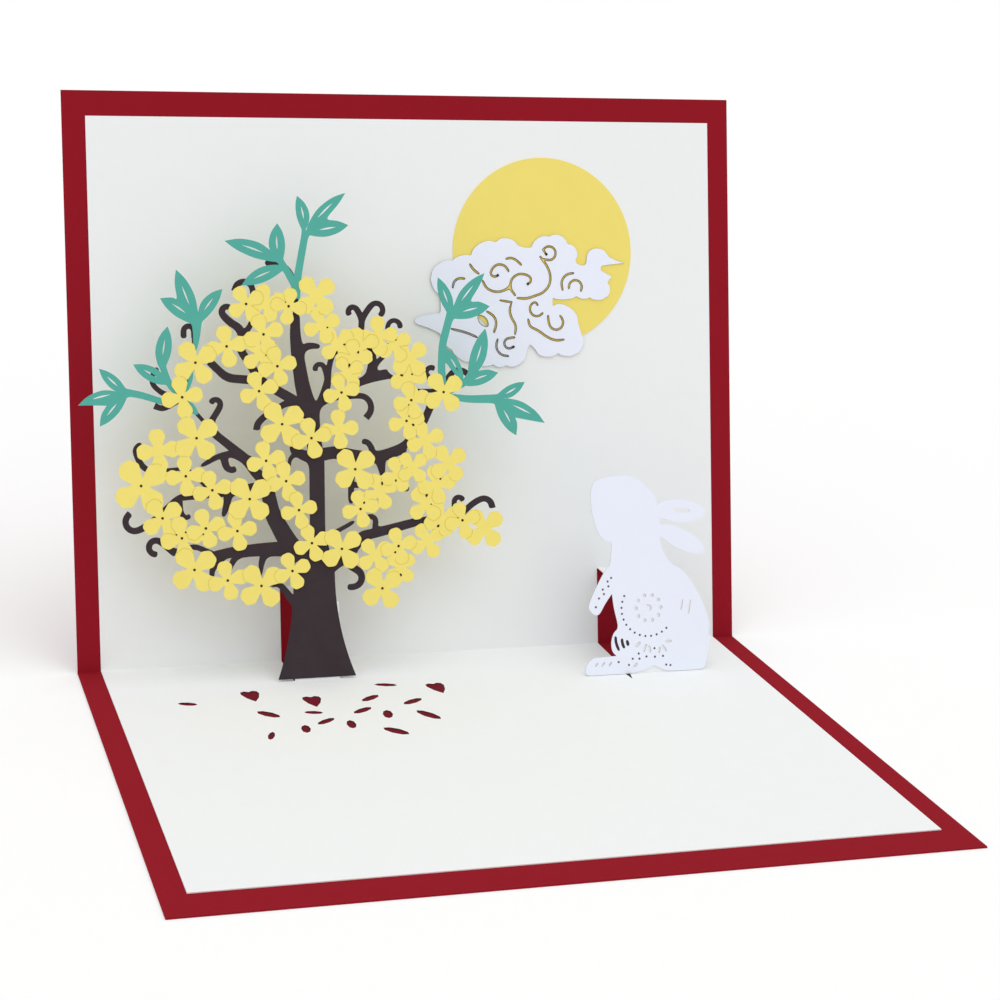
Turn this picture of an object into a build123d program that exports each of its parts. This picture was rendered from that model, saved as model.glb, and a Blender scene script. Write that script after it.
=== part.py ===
from build123d import *
from math import cos, pi, radians, sin
import os

# A paper pop up card that stands open. X runs along the fold, -Y is the front
# and Z is up. The origin is the middle of the base panel's underside.

# Cover, in millimetres and degrees
CARD_WIDTH = 183.0
PANEL_LENGTH = 150.0
OPEN_ANGLE = 101.6
COVER_THICK = 0.4
FOLD_ROUND = 0.3

# Liner and the other papers
PAPER_THICK = 0.25
SIDE_BORDER = 6.0
TOP_BORDER = 6.5
FRONT_BORDER = 10.5
SLIT_WIDTH = 0.3

# Tree: its place from the left edge of the card, its step and its drawing
TREE_FROM_EDGE = 60.0
TREE_DEPTH = 16.5
TREE_STEP_WIDTH = 12.0
TREE_STEP_HEIGHT = 20.0
TREE_LIFT = 0.6
TREE_UNIT = 1.0
BLOSSOM_HOLE = 0.45
LEAF_SLIT = 0.75

# Fineness of drawn curves: the turn of a curl and the length of a swelling edge for one more point
CURL_STEP = 45.0
SWELL_STEP = 7.0

# Fallen petals cut out of the liner in front of the tree
PETAL_UNIT = 1.0
HEART_WIDTH = 4.8
HEART_LENGTH = 8.0

# Rabbit: its place from the right edge of the card, its step and its drawing
RABBIT_FROM_EDGE = 33.5
RABBIT_DEPTH = 26.0
RABBIT_STEP_WIDTH = 12.8
RABBIT_STEP_HEIGHT = 21.0
RABBIT_LIFT = 0.1
RABBIT_UNIT = 1.0
RABBIT_DOT = 0.42
BELLY_RING = 7.6
ROSETTE_DOT = 0.7
ROSETTE_RING = 3.5

# Moon and the cloud over it
MOON_FROM_EDGE = 54.5
MOON_HEIGHT = 108.0
MOON_RADIUS = 25.4
CLOUD_LEFT_OF_MOON = 7.0
CLOUD_BELOW_MOON = 13.0
CLOUD_UNIT = 1.0
CLOUD_SLOT = 0.55

# Places that follow from the sizes above
FOLD_Y = PANEL_LENGTH / 2
LEAN_Y = -cos(radians(OPEN_ANGLE))
LEAN_Z = sin(radians(OPEN_ANGLE))
COVER_SKEW = COVER_THICK / LEAN_Z
PAPER_SKEW = PAPER_THICK / LEAN_Z
TREE_X = TREE_FROM_EDGE - CARD_WIDTH / 2
RABBIT_X = CARD_WIDTH / 2 - RABBIT_FROM_EDGE
MOON_X = CARD_WIDTH / 2 - MOON_FROM_EDGE

os.makedirs("parts", exist_ok=True)


def section(along, up):
    """A point of the side section, measured from the fold along the base and up the back panel."""
    return (FOLD_Y - along + up * LEAN_Y, COVER_THICK + up * LEAN_Z)


def base_edge(along, above):
    """A point at the front edge of a sheet that lies on the base."""
    return (FOLD_Y - along, COVER_THICK + above)


def back_edge(up, ahead):
    """A point at the top edge of a sheet that lies on the back panel."""
    return (FOLD_Y + up * LEAN_Y - ahead * LEAN_Z, COVER_THICK + up * LEAN_Z + ahead * LEAN_Y)


def upright(depth, sheets_behind, x, lift):
    """A drawing plane parallel to the back panel, standing on the liner in front of the fold."""
    y, z = section(depth + PAPER_SKEW, PAPER_SKEW + lift)
    forward = sheets_behind * PAPER_THICK
    return Plane(
        origin=(x, y - forward * LEAN_Z, z + forward * LEAN_Y),
        x_dir=(1, 0, 0),
        z_dir=(0, -LEAN_Z, LEAN_Y),
    )


def strip(start_width, end_width, route):
    """A strip along a route, tapering evenly from its start to its end."""
    last = len(route) - 1
    left = []
    right = []
    for i, (x, y) in enumerate(route):
        along = (Vector(*route[min(i + 1, last)]) - Vector(*route[max(i - 1, 0)])).normalized()
        half = (start_width + (end_width - start_width) * i / last) / 2
        left.append((x - along.Y * half, y + along.X * half))
        right.append((x + along.Y * half, y - along.X * half))
    return Polygon(*left, *reversed(right), align=None, mode=Mode.PRIVATE)


def curl(x, y, radius, start, end):
    """Points along an arc round a middle, as the curled end of a route."""
    steps = round(abs(end - start) / CURL_STEP)
    angles = [radians(start + (end - start) * k / steps) for k in range(steps + 1)]
    return [(x + radius * cos(angle), y + radius * sin(angle)) for angle in angles]


# Shares of a leaf's length where its sides are worked out
LEAF_STATIONS = (0.16, 0.45, 0.78)


def leaf(x0, y0, x1, y1, width):
    """A pointed leaf from its foot to its tip, fullest a little before the middle."""
    foot = Vector(x0, y0)
    along = Vector(x1, y1) - foot
    across = Vector(-along.Y, along.X).normalized()
    left = []
    right = []
    for share in LEAF_STATIONS:
        middle = foot + along * share
        bulge = across * (width / 2 * sin(pi * share) ** 0.75)
        left.append((middle.X + bulge.X, middle.Y + bulge.Y))
        right.append((middle.X - bulge.X, middle.Y - bulge.Y))
    return Polygon((x0, y0), *left, (x1, y1), *reversed(right), align=None, mode=Mode.PRIVATE)


# Shares of a leaf's length where its vein starts, is widest and ends
VEIN_STATIONS = (0.32, 0.52, 0.72)


def vein(x0, y0, x1, y1):
    """The vein of a leaf, a narrow slit along the middle of the blade."""
    foot = Vector(x0, y0)
    along = Vector(x1, y1) - foot
    start, middle, end = [foot + along * share for share in VEIN_STATIONS]
    across = Vector(-along.Y, along.X).normalized() * (LEAF_SLIT / 2)
    corners = (start, middle + across, end, middle - across)
    return Polygon(*[(p.X, p.Y) for p in corners], align=None, mode=Mode.PRIVATE)


# One petal as pairs: share of its angle to either side, share of the blossom's radius
PETAL_SHAPE = ((-0.5, 0.27), (-0.35, 0.78), (-0.14, 1.0), (0.14, 1.0), (0.35, 0.78))


def blossom(x, y, radius, turn):
    """A blossom of four rounded petals, the first one turned from the X direction."""
    outline = []
    for quarter in range(4):
        for across, out in PETAL_SHAPE:
            angle = radians(turn + 90 * (quarter + across))
            outline.append((x + radius * out * cos(angle), y + radius * out * sin(angle)))
    return Polygon(*outline, align=None, mode=Mode.PRIVATE)


def rounded(edge):
    """A closed shape from points in clockwise order, each with the swell of the edge that follows it.

    An edge that swells is half an ellipse on its chord, and one with no swell is straight.
    """
    points = []
    for (x, y, swell), (next_x, next_y, _) in zip(edge, edge[1:] + edge[:1]):
        points.append((x, y))
        chord = Vector(next_x - x, next_y - y)
        across = Vector(-chord.Y, chord.X).normalized() * swell
        steps = 3 + round(chord.length / SWELL_STEP) if swell else 1
        for k in range(1, steps):
            angle = pi * k / steps
            point = chord * ((1 - cos(angle)) / 2) + across * sin(angle)
            points.append((x + point.X, y + point.Y))
    return Polygon(*points, align=None, mode=Mode.PRIVATE)


# Right half of a heart from its notch to its tip: shares of its half width and of its length
HEART_SHAPE = ((0, 0.36), (0.45, 0.45), (0.9, 0.38), (1, 0.18), (0.65, -0.2), (0, -0.55))


def heart(x, y, turn):
    """A heart-shaped petal, its tip towards the front of the card."""
    right = [(u * HEART_WIDTH / 2, v * HEART_LENGTH) for u, v in HEART_SHAPE]
    left = [(-u, v) for u, v in right[-2:0:-1]]
    return Location((x, y), turn) * Polygon(*right, *left, align=None, mode=Mode.PRIVATE)


def petal(x, y, length, width, turn):
    """A narrow fallen petal, an ellipse."""
    du = length / 2 * cos(radians(turn))
    dv = length / 2 * sin(radians(turn))
    return rounded(((x - du, y - dv, width / 2), (x + du, y + dv, width / 2)))


# Cover, one sheet folded along the back of the base
with BuildPart() as cover:
    with BuildSketch(Plane.YZ) as cover_side:
        with BuildLine():
            Polyline(
                section(0, 0),
                base_edge(PANEL_LENGTH, 0),
                base_edge(PANEL_LENGTH, -COVER_THICK),
                section(-COVER_SKEW, -COVER_SKEW),
                back_edge(PANEL_LENGTH, -COVER_THICK),
                back_edge(PANEL_LENGTH, 0),
                close=True,
            )
        make_face()
        outer_fold = cover_side.vertices().sort_by_distance(section(-COVER_SKEW, -COVER_SKEW))[0]
        fillet(outer_fold, FOLD_ROUND)
    extrude(amount=CARD_WIDTH / 2, both=True)

# Steps cut from the liner: middle, width, depth along the base, height up the back panel
STEPS = (
    (TREE_X, TREE_STEP_WIDTH, TREE_DEPTH, TREE_STEP_HEIGHT),
    (RABBIT_X, RABBIT_STEP_WIDTH, RABBIT_DEPTH, RABBIT_STEP_HEIGHT),
)

# Fallen petals, from the middle of the tree and the fold: place, length, width, turn
HEARTS = ((-19.2, -25.5, 4), (-4.6, -32, 0), (29.2, -27.7, 6))
PETALS = (
    (-36.0, -28.7, 5.0, 2.3, -20),
    (16.5, -23.3, 6.0, 2.3, -15),
    (10.2, -32.4, 6.4, 2.5, 38),
    (-17.5, -39.5, 7.0, 3.0, -46),
    (-6.2, -40.2, 4.8, 2.2, -15),
    (6.2, -40.8, 6.4, 2.5, 35),
    (20.3, -36.6, 6.6, 2.6, 33),
    (11.8, -44.6, 5.8, 2.6, 82),
    (-4.5, -46.8, 6.2, 2.3, 38),
    (21.8, -46.8, 8.4, 3.0, -58),
    (-10.5, -51.2, 5.4, 2.4, 84),
    (1.2, -50.0, 5.8, 2.4, 86),
    (-19.7, -54.3, 5.4, 1.7, 72),
    (11.0, -56.5, 7.6, 3.2, -47),
)

# Liner, one sheet inside the cover, with two windows whose paper is pushed forward as steps
with BuildPart() as liner:
    with BuildSketch(Plane.YZ):
        with BuildLine():
            Polyline(
                section(0, 0),
                base_edge(PANEL_LENGTH - FRONT_BORDER, 0),
                base_edge(PANEL_LENGTH - FRONT_BORDER, PAPER_THICK),
                section(PAPER_SKEW, PAPER_SKEW),
                back_edge(PANEL_LENGTH - TOP_BORDER, PAPER_THICK),
                back_edge(PANEL_LENGTH - TOP_BORDER, 0),
                close=True,
            )
        make_face()
    extrude(amount=CARD_WIDTH / 2 - SIDE_BORDER, both=True)
    for middle, width, depth, height in STEPS:
        with BuildSketch(Plane.YZ.offset(middle)):
            with BuildLine():
                Polyline(
                    section(0, 0),
                    section(depth, 0),
                    section(depth, height),
                    section(0, height),
                    close=True,
                )
            make_face()
        extrude(amount=width / 2 + SLIT_WIDTH, both=True, mode=Mode.SUBTRACT)
        with BuildSketch(Plane.YZ.offset(middle)):
            with BuildLine():
                Polyline(
                    section(depth, 0),
                    section(depth + PAPER_SKEW, 0),
                    section(depth + PAPER_SKEW, height + PAPER_SKEW),
                    section(0, height + PAPER_SKEW),
                    section(0, height),
                    section(depth, height),
                    close=True,
                )
            make_face()
        extrude(amount=width / 2, both=True)
    with BuildSketch(Plane((TREE_X, section(PAPER_SKEW, PAPER_SKEW)[0], COVER_THICK))):
        add([heart(*place) for place in HEARTS])
        add([petal(*place) for place in PETALS])
        scale(by=PETAL_UNIT)
    extrude(amount=PAPER_THICK, both=True, mode=Mode.SUBTRACT)

# Moon, a disc on the back of the liner
with BuildPart() as moon:
    with BuildSketch(upright(0, 0, MOON_X, MOON_HEIGHT)):
        Circle(MOON_RADIUS)
    extrude(amount=PAPER_THICK)

# Cloud edge, clockwise from the left: a point, then how far the edge swells before the next one
CLOUD_EDGE = (
    (-24.6, 6.8, 1.6),
    (-18.7, 10.6, 0.9),
    (-13.4, 11.9, 2.0),
    (-6.4, 15.5, 1.8),
    (-0.2, 14.5, 0),
    (3.8, 13.9, 1.5),
    (8.8, 17.0, 1.6),
    (13.9, 15.0, 1.8),
    (16.1, 10.6, -0.9),
    (19.4, 9.6, 0),
    (19.5, 12.0, 2.1),
    (25.6, 11.8, -0.4),
    (30.8, 9.9, 0),
    (24.0, 9.2, -0.3),
    (23.6, 7.7, 0),
    (27.0, 6.0, -0.3),
    (25.4, 4.3, 1.2),
    (24.6, 0.4, 0.8),
    (20.2, 0.6, 0.7),
    (16.4, 1.0, 0.9),
    (9.4, 0.7, 0),
    (9.5, -1.7, 2.4),
    (16.7, -6.4, 0),
    (17.8, -9.8, 1.4),
    (15.6, -15.0, 0.7),
    (10.8, -14.5, 1.2),
    (4.8, -14.3, -0.3),
    (2.6, -12.0, 0),
    (1.6, -14.6, 1.8),
    (-4.2, -17.5, 0.8),
    (-7.7, -17.2, 0.9),
    (-13.8, -16.4, 1.2),
    (-19.2, -13.0, 0.8),
    (-22.0, -9.3, -0.5),
    (-29.6, -5.4, 0.6),
    (-22.5, -3.4, -0.5),
    (-22.8, 2.0, 0.8),
)

# Scrolls cut into the cloud, each a narrow slot along a route
CLOUD_SCROLLS = (
    # Upper spirals
    (*curl(-6.9, 7.5, 1.2, -40, -180), *curl(-5.4, 7.2, 2.6, 130, 10)),
    (*curl(2.3, 5.5, 1.2, -80, 20), *curl(0.6, 4, 3.3, 60, 240)),
    (*curl(0.9, 3.4, 3.3, 240, 290), (4.2, 1), (6.8, 1.8), (8.7, 3.8), (9.1, 6.4), (8.2, 9), (6, 11.8)),
    ((6.6, 11), *curl(8.7, 12.6, 2, -120, 150), (7.9, 12.3)),
    ((-10.4, 5.5), (-9.2, 3), (-6, 2), (-2.6, 3.3)),
    ((-13.9, 9.9), (-12.8, 8.2), (-11.2, 7.1)),
    ((-3.7, 11.1), (-2.2, 11.5), (-0.6, 10.8), (0.8, 9.4)),
    curl(15, 4.2, 3.1, 215, 75),
    curl(16.1, 3.4, 2, 195, -40),
    # Lower spirals
    ((-5.6, 0), (-2.2, -0.6), (-2.9, -2.6), (-2.4, -4.8), (-1, -6.8), (-1.4, -9.4)),
    ((5.3, -1.6), *curl(4.9, -2.5, 2.1, 100, 330)),
    ((8.1, -4.2), *curl(10.4, -6.2, 2.2, 175, 420)),
    ((2.4, -5.1), (2.8, -7.3), (5.1, -8.2), (7.6, -10.1), (10.1, -11.2), (12.7, -10.9)),
    ((-1.4, -10.1), *curl(-3.1, -11.7, 1.5, 80, 320)),
    curl(-4, -12.3, 3, 140, 285),
    curl(-16.4, 3.8, 2.4, 190, 60),
    ((-9.4, -2.9), (-7.2, -4.2), (-6.5, -6.3), (-7.4, -8.8)),
    ((-19.5, -7.5), (-15, -8.6), (-12, -10)),
)

# Cloud, over the lower left of the moon
with BuildPart() as cloud:
    with BuildSketch(upright(0, 1, MOON_X - CLOUD_LEFT_OF_MOON, MOON_HEIGHT - CLOUD_BELOW_MOON)):
        add(rounded(CLOUD_EDGE))
        add([strip(CLOUD_SLOT, CLOUD_SLOT, route) for route in CLOUD_SCROLLS], mode=Mode.SUBTRACT)
        add(leaf(-11.8, -3.9, -8.9, -7.2, 2.4), mode=Mode.SUBTRACT)
        scale(by=CLOUD_UNIT)
    extrude(amount=PAPER_THICK)

# Limbs and twigs, from the middle of the trunk's foot: width at the start, width at the end, route
LIMBS = (
    # Lower left
    (5.4, 2.8, ((-4, 31), (-7.5, 36.5), (-11, 43), (-12, 49), (-12.2, 52))),
    (3.0, 2.0, ((-12, 50.5), (-15.5, 54.5), (-18, 58), (-26, 64.6))),
    (4.4, 2.3, ((-3.5, 33.5), (-9, 34), (-15, 34), (-22, 33.6), (-26.2, 33))),
    (2.0, 0.8, ((-20, 33.2), (-21.8, 31), (-22.7, 28.3))),
    (2.2, 0.8, ((-13, 33.5), (-14.2, 30.5), (-14.5, 27.2))),
    (2.2, 1.2, ((-5.5, 19.5), (-7.7, 22.5), (-9.5, 25), (-12, 24.7))),
    (1.6, 1.2, ((-26, 33), (-31.5, 35.8), (-36.5, 34))),
    (1.8, 1.6, ((-36.2, 33.7), (-38.6, 36), *curl(-41.2, 35.7, 1.9, 65, 280))),
    (2.0, 0.8, ((-24, 32.8), (-27.3, 29.3), (-26.6, 24))),
    # Middle left
    (2.0, 1.8, ((-12.5, 51), (-22.5, 49), (-35, 48.2), (-42, 42))),
    (1.8, 1.7, ((-41.6, 42.3), *curl(-46.4, 42.4, 2.5, -60, -245))),
    (1.4, 1.4, ((-34.8, 47.8), (-34.7, 44.3), (-33.4, 42.8), (-32.2, 43.5))),
    (2.4, 1.2, ((-22.3, 49.3), (-22.7, 46), (-23.8, 42.9))),
    (1.0, 1.0, ((-26, 48.6), (-32.6, 55.6), (-42.4, 55))),
    (1.5, 1.8, ((-42, 54.9), (-44.4, 56.6), *curl(-44.1, 60.2, 1.6, 205, 85))),
    (2.6, 1.0, ((-16.5, 57), (-21, 59), (-25, 58.3), (-29.2, 56))),
    (2.0, 1.6, ((-23.3, 58.7), *curl(-21.2, 56.4, 1.7, 180, 310))),
    (1.7, 1.5, ((-25.8, 64.2), (-26.2, 67.5), (-24.8, 69.5), *curl(-25, 71.7, 1.3, -20, 170))),
    (1.0, 1.0, ((-25.6, 64.4), (-33.6, 73.7), (-30.6, 82), (-30, 89.5))),
    (1.6, 1.5, ((-30, 88.6), *curl(-31.4, 90.4, 1.4, 0, 190), (-32.7, 88.6))),
    (1.4, 1.4, ((-33.4, 73.5), (-38.5, 74.6), (-41.4, 77.4), (-40.5, 80.5), (-39.3, 81))),
    (1.4, 1.7, ((-33.8, 73.2), (-38.5, 70.7), (-40.6, 71.7))),
    # Lower right
    (3.6, 2.2, ((4, 29), (9, 32), (12.5, 36.5), (17, 37.3), (28, 39.8))),
    (1.8, 1.2, ((27.5, 39.8), (34, 40.5), (38.8, 39.8))),
    (1.5, 1.5, ((15.9, 37), *curl(15, 40.2, 1.35, -10, 150))),
    (1.6, 1.8, ((38.3, 39.9), (42, 43.4), *curl(45.8, 42.9, 2.4, 125, -10))),
    (1.4, 1.5, ((38, 39.9), *curl(38.9, 44.5, 1.3, 190, 10))),
    (2.2, 1.6, ((9, 32), (9.2, 28.8), *curl(10, 25.6, 2.4, 70, -90), (8.4, 23.3))),
    (1.2, 1.0, ((2, 36.3), (7.7, 38.8), (10.6, 40.4))),
    # Middle right
    (3.4, 1.4, ((0.5, 57), (-2.5, 58), (-5, 59.3), (-5.6, 60.6))),
    (1.4, 0.7, ((-4.2, 58.9), (-6.2, 57), (-6.3, 54.4))),
    (3.4, 2.8, ((1, 57.8), (5.8, 58.6), (12, 57.3), (16, 56.8), (20, 57.6), (24.7, 59.3))),
    (1.7, 1.5, ((16, 57), (15.6, 59.5), (14.6, 61), (13.1, 61.2))),
    (3.0, 0.5, ((17.8, 56.5), (18.3, 53.5), (18.4, 50.8))),
    (1.6, 2.2, ((24.2, 59.4), (27, 62.8), (29.5, 65), (31.3, 69), (34, 74.6))),
    (1.4, 1.5, ((34.2, 73.9), *curl(32.1, 78.6, 1.5, 190, 50))),
    (1.5, 1.6, ((33.7, 73.9), (38.5, 79.4), (40.5, 79.2), (42.3, 77.9))),
    (1.8, 1.5, ((10.5, 57), (10, 51), (9.8, 45))),
    (1.5, 1.6, ((9.9, 49.8), (15.7, 50), (21.7, 49.8), (24, 48.6), (25.5, 48.4))),
    # Upper left
    (4.0, 3.8, ((1, 56.5), (0.2, 63), (0, 69.5))),
    (4.4, 2.2, ((-0.3, 68), (-2.4, 76), (-3.5, 84), (-4, 90), (-3.7, 94))),
    (2.2, 1.4, ((-3.4, 84.3), (-0.6, 86.3), (2.5, 86))),
    (2.8, 2.0, ((-1, 69), (-5, 72.5), (-13.5, 77.5), (-22, 78.3), (-26.3, 82.6))),
    (2.2, 2.0, ((-13.5, 77.5), (-16, 82), (-18.5, 85.6), (-17.3, 89))),
    (2.2, 1.4, ((-17.4, 88.5), (-18.6, 91.2), (-20.8, 92.5), *curl(-21.5, 95.2, 1.4, 215, 0))),
    (1.4, 1.8, ((-17.4, 88.8), (-14.6, 93.2), *curl(-17, 100.6, 2.4, 0, 185))),
    (1.4, 1.4, ((-3.7, 93.5), (-3.5, 100), (-4.6, 105), (-7.3, 107.6), (-10, 107.8), (-11.3, 107.3))),
    (1.6, 1.8, ((-5, 72.5), (-10.5, 69.5), (-12.8, 68), (-14.3, 66.5), (-14.6, 64.8))),
    # Upper right
    (3.0, 1.1, ((0, 69.5), (3, 72), (7.8, 72.9))),
    (1.5, 1.8, ((7.4, 72.8), *curl(12.7, 70, 3.2, 100, -60))),
    (2.4, 1.6, ((2.7, 71.8), (4.3, 76.5), (4.4, 79))),
    (1.4, 1.4, ((4.3, 77.8), *curl(2.3, 80.2, 1.3, 10, 205))),
    (1.5, 1.2, ((4.4, 78.5), (5.1, 82), (6.1, 84.4), (8.2, 85))),
    (1.6, 2.8, ((7.4, 72.7), (12, 76.3), (16.5, 77.8), (20.5, 78.6))),
    (1.2, 1.0, ((20, 78.5), (27, 74), (34.2, 73.9))),
    (3.4, 1.4, ((16, 77.5), (16.4, 81.5), (16.2, 86.2))),
    (1.4, 0.9, ((16.6, 80.8), (20.1, 83.8), (21.7, 87.3))),
    (1.2, 1.5, ((21.6, 86.9), (20.3, 90), *curl(22.3, 90.8, 1.8, 140, -15))),
    (1.6, 1.6, ((16.2, 83), (13.2, 88), (13.6, 91), (13.8, 94.3))),
    (1.6, 1.5, ((13.8, 93), *curl(11.4, 94.8, 1.3, 50, 225))),
    (1.6, 1.5, ((13.7, 93), *curl(17.6, 95.2, 1.9, 130, -60))),
)

# Branches, one sheet on the front of the left step
with BuildPart() as tree_branches:
    with BuildSketch(upright(TREE_DEPTH, 0, TREE_X, TREE_LIFT)):
        with BuildLine():
            Line((-10.4, 0), (10.2, 0))
            ThreePointArc((10.2, 0), (7, 10), (5.1, 27))
            Polyline((5.1, 27), (2.8, 38), (3, 58), (-1, 58), (-1.2, 38), (-5.9, 24))
            ThreePointArc((-5.9, 24), (-7.6, 10), (-10.4, 0))
        make_face()
        add([strip(*limb) for limb in LIMBS])
        scale(by=TREE_UNIT)
    extrude(amount=PAPER_THICK)

# Leaf sprigs: stems as widths and route, leaves as foot, tip and width
SPRIGS = {
    "leaves_top": (
        (
            (2.0, 1.8, ((-3.5, 98.3), (-3.0, 104), (-2, 109), (-0.6, 115.8))),
            (2.0, 1.6, ((-3.3, 101), (-5.8, 105.5), (-7.8, 108.5))),
        ),
        (
            (-1, 115.4, -2.7, 124.6, 4.0),
            (-0.6, 115.2, 10, 125.4, 3.7),
            (-0.8, 115.2, 10.6, 117.1, 4.8),
            (-7.5, 107.4, -8, 117.6, 5.0),
            (-7.2, 107.9, -21.7, 113.2, 4.8),
            (-6.2, 106.6, -17.6, 101.9, 4.5),
        ),
    ),
    "leaves_upper_left": (
        ((0.9, 2.8, ((-30, 85.3), (-29.4, 89.5), (-29.4, 94))),),
        (
            (-29.4, 92.6, -34.3, 106, 5.0),
            (-29.4, 92.3, -38.5, 98.8, 5.0),
            (-29.2, 92.3, -22.6, 101, 4.3),
        ),
    ),
    "leaves_left": (
        (
            (1.4, 1.6, ((-33.6, 73.5), (-36.5, 76.5), (-38.5, 82))),
            (1.4, 1.9, ((-33.6, 73.3), (-37.5, 72.3), (-44, 74.5), (-48.5, 75.4))),
        ),
        (
            (-38.7, 80.5, -36.8, 91.7, 4.8),
            (-37, 77, -45.7, 82.2, 4.3),
            (-34, 73.6, -30.6, 80.3, 2.9),
            (-33.8, 73, -29.5, 69, 2.6),
            (-47.4, 74.7, -54.3, 81.3, 3.6),
            (-47.4, 75, -59.8, 72.2, 3.6),
            (-47.4, 75, -54.5, 66.8, 4.3),
        ),
    ),
    "leaves_right": (
        (
            (2.0, 2.0, ((35.2, 73.2), (34.8, 80), (35.2, 86), (37.8, 95))),
            (1.2, 1.6, ((35, 72.6), (40.5, 75.3), (43, 78.5))),
            (1.5, 2.4, ((34.8, 72.6), (42, 71.5), (51, 71.4))),
        ),
        (
            (38, 93.2, 34.3, 103.5, 3.9),
            (37.8, 93.2, 47, 104.5, 4.1),
            (37.4, 93.2, 48.3, 95.8, 5.2),
            (35.1, 85.7, 40.8, 76, 3.5),
            (42.4, 76.6, 47, 90, 5.0),
            (40.6, 75.3, 50.3, 78.3, 4.5),
            (49.4, 71.5, 57.6, 75.7, 3.6),
            (49.4, 71.3, 63, 64.7, 4.3),
            (49.4, 71.8, 55, 61.6, 5.0),
        ),
    ),
}


def leaf_sprig(name, stems, leaves):
    """A green sprig, glued to the front of the branches."""
    with BuildPart() as sprig:
        with BuildSketch(upright(TREE_DEPTH, 1, TREE_X, TREE_LIFT)):
            add([strip(*stem) for stem in stems] + [leaf(*blade) for blade in leaves])
            add([vein(*ends) for *ends, _ in leaves], mode=Mode.SUBTRACT)
            scale(by=TREE_UNIT)
        extrude(amount=PAPER_THICK)
    sprig.part.label = name
    export_step(sprig.part, f"parts/{name}.step")


# Blossoms, from the middle of the trunk's foot: place, radius, turn of the first petal
PIERCED_BLOSSOMS = (
    (-16.6, 97.1, 5.0, 30),
    (-5.6, 96.4, 4.8, 80),
    (-21.9, 86.4, 5.4, 10),
    (-12.3, 89.3, 5.4, 20),
    (-8.9, 81.1, 5.2, 14),
    (-30.0, 82.4, 6.0, 33),
    (-33.6, 73.7, 5.4, 10),
    (-30.2, 63.2, 6.3, 38),
    (-44.6, 51.5, 7.4, 36),
    (-39.4, 43.1, 5.6, 35),
    (-34.6, 37.8, 5.6, 10),
    (-31.6, 29.6, 6.4, 36),
    (-23.1, 26.5, 5.2, 13),
    (-14.4, 24.7, 6.3, 38),
    (-6.2, 28.2, 5.0, 22),
    (-0.9, 35.2, 5.0, 20),
    (7.0, 33.4, 6.0, 38),
    (22.2, 33.5, 5.0, 15),
    (17.6, 22.6, 6.0, 35),
    (39.7, 39.6, 5.0, 15),
    (25.0, 66.2, 5.0, 15),
    (26.4, 71.6, 5.0, 15),
    (35.2, 73.5, 5.8, 36),
    (7.8, 74.0, 5.0, 15),
    (-13.8, 74.8, 5.2, 20),
    (-8.0, 66.2, 6.4, 35),
    (-0.4, 62.4, 5.4, 14),
    (-12.4, 56.9, 5.2, 14),
    (-7.3, 51.5, 5.2, 12),
    (-4.1, 43.9, 4.9, 12),
    (11.0, 54.0, 6.2, 40),
    (12.2, 43.6, 5.0, 12),
    (-33.2, 53.6, 5.2, 5),
    (-26.5, 49.8, 5.2, 14),
    (-28.4, 40.1, 5.2, 17),
    (-20.3, 39.1, 5.2, 10),
    (-16.9, 47.2, 6.4, 40),
)
PLAIN_BLOSSOMS = (
    (-11.3, 97.3, 5.0, 15),
    (-13.2, 84.2, 5.0, 35),
    (-40.0, 60.3, 5.6, 5),
    (15.8, 31.3, 5.0, 35),
    (30.0, 34.6, 5.0, 30),
    (22.7, 27.8, 4.6, 40),
    (34.0, 40.3, 5.0, 20),
    (45.8, 37.3, 5.8, 38),
    (29.8, 44.3, 5.2, 40),
    (32.8, 49.3, 5.2, 10),
    (36.2, 54.8, 5.4, 35),
    (30.0, 61.0, 5.2, 20),
    (25.8, 77.0, 5.0, 10),
    (26.2, 82.5, 5.4, 40),
    (22.2, 86.0, 4.8, 30),
    (18.0, 88.5, 5.2, 5),
    (13.2, 86.0, 5.0, 20),
    (7.0, 86.5, 5.0, 40),
    (11.3, 82.8, 5.0, 5),
    (9.5, 79.0, 4.6, 30),
    (3.0, 91.5, 5.0, 20),
    (1.7, 99.0, 5.8, 40),
    (7.0, 64.5, 5.2, 5),
    (17.5, 48.0, 5.0, 25),
    (22.5, 52.3, 4.8, 20),
    (26.4, 54.0, 4.6, 40),
)

# Blossom sheet, all blossoms in one piece, in front of the leaf stems
with BuildPart() as blossoms:
    with BuildSketch(upright(TREE_DEPTH, 2, TREE_X, TREE_LIFT)):
        add([blossom(*place) for place in PIERCED_BLOSSOMS + PLAIN_BLOSSOMS])
        with Locations(*[(x, y) for x, y, *_ in PIERCED_BLOSSOMS]):
            RegularPolygon(BLOSSOM_HOLE, 4, mode=Mode.SUBTRACT)
        scale(by=TREE_UNIT)
    extrude(amount=PAPER_THICK)

# Rabbit edge, clockwise from the neck: a point from the middle of its foot line, then the swell after it
RABBIT_BODY = (
    # Neck and back
    (-11.7, 29.5, 0),
    (-11.2, 36.0, 0),
    (2.4, 37.0, -1.2),
    (6.5, 28.2, 2.5),
    (15.9, 10.0, 0.6),
    # Underside
    (14.3, 0, 0),
    (5.0, 0, 0),
    (2.5, 0.6, 0),
    (0, 2.0, 0.4),
    (-4.0, 0.5, 0),
    (-6.0, 0, 0),
    # Foot, knee and chest
    (-18.8, 0, 1.7),
    (-15.5, 4.7, 0),
    (-10.4, 4.9, 1.9),
    (-9.6, 12.2, 0),
    (-11.0, 18.0, 0),
    # Arm and paw
    (-11.4, 21.6, 0),
    (-13.4, 19.0, 0),
    (-15.0, 16.1, 1.3),
    (-17.8, 19.2, 0.3),
    (-12.8, 28.4, 0),
)
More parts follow.
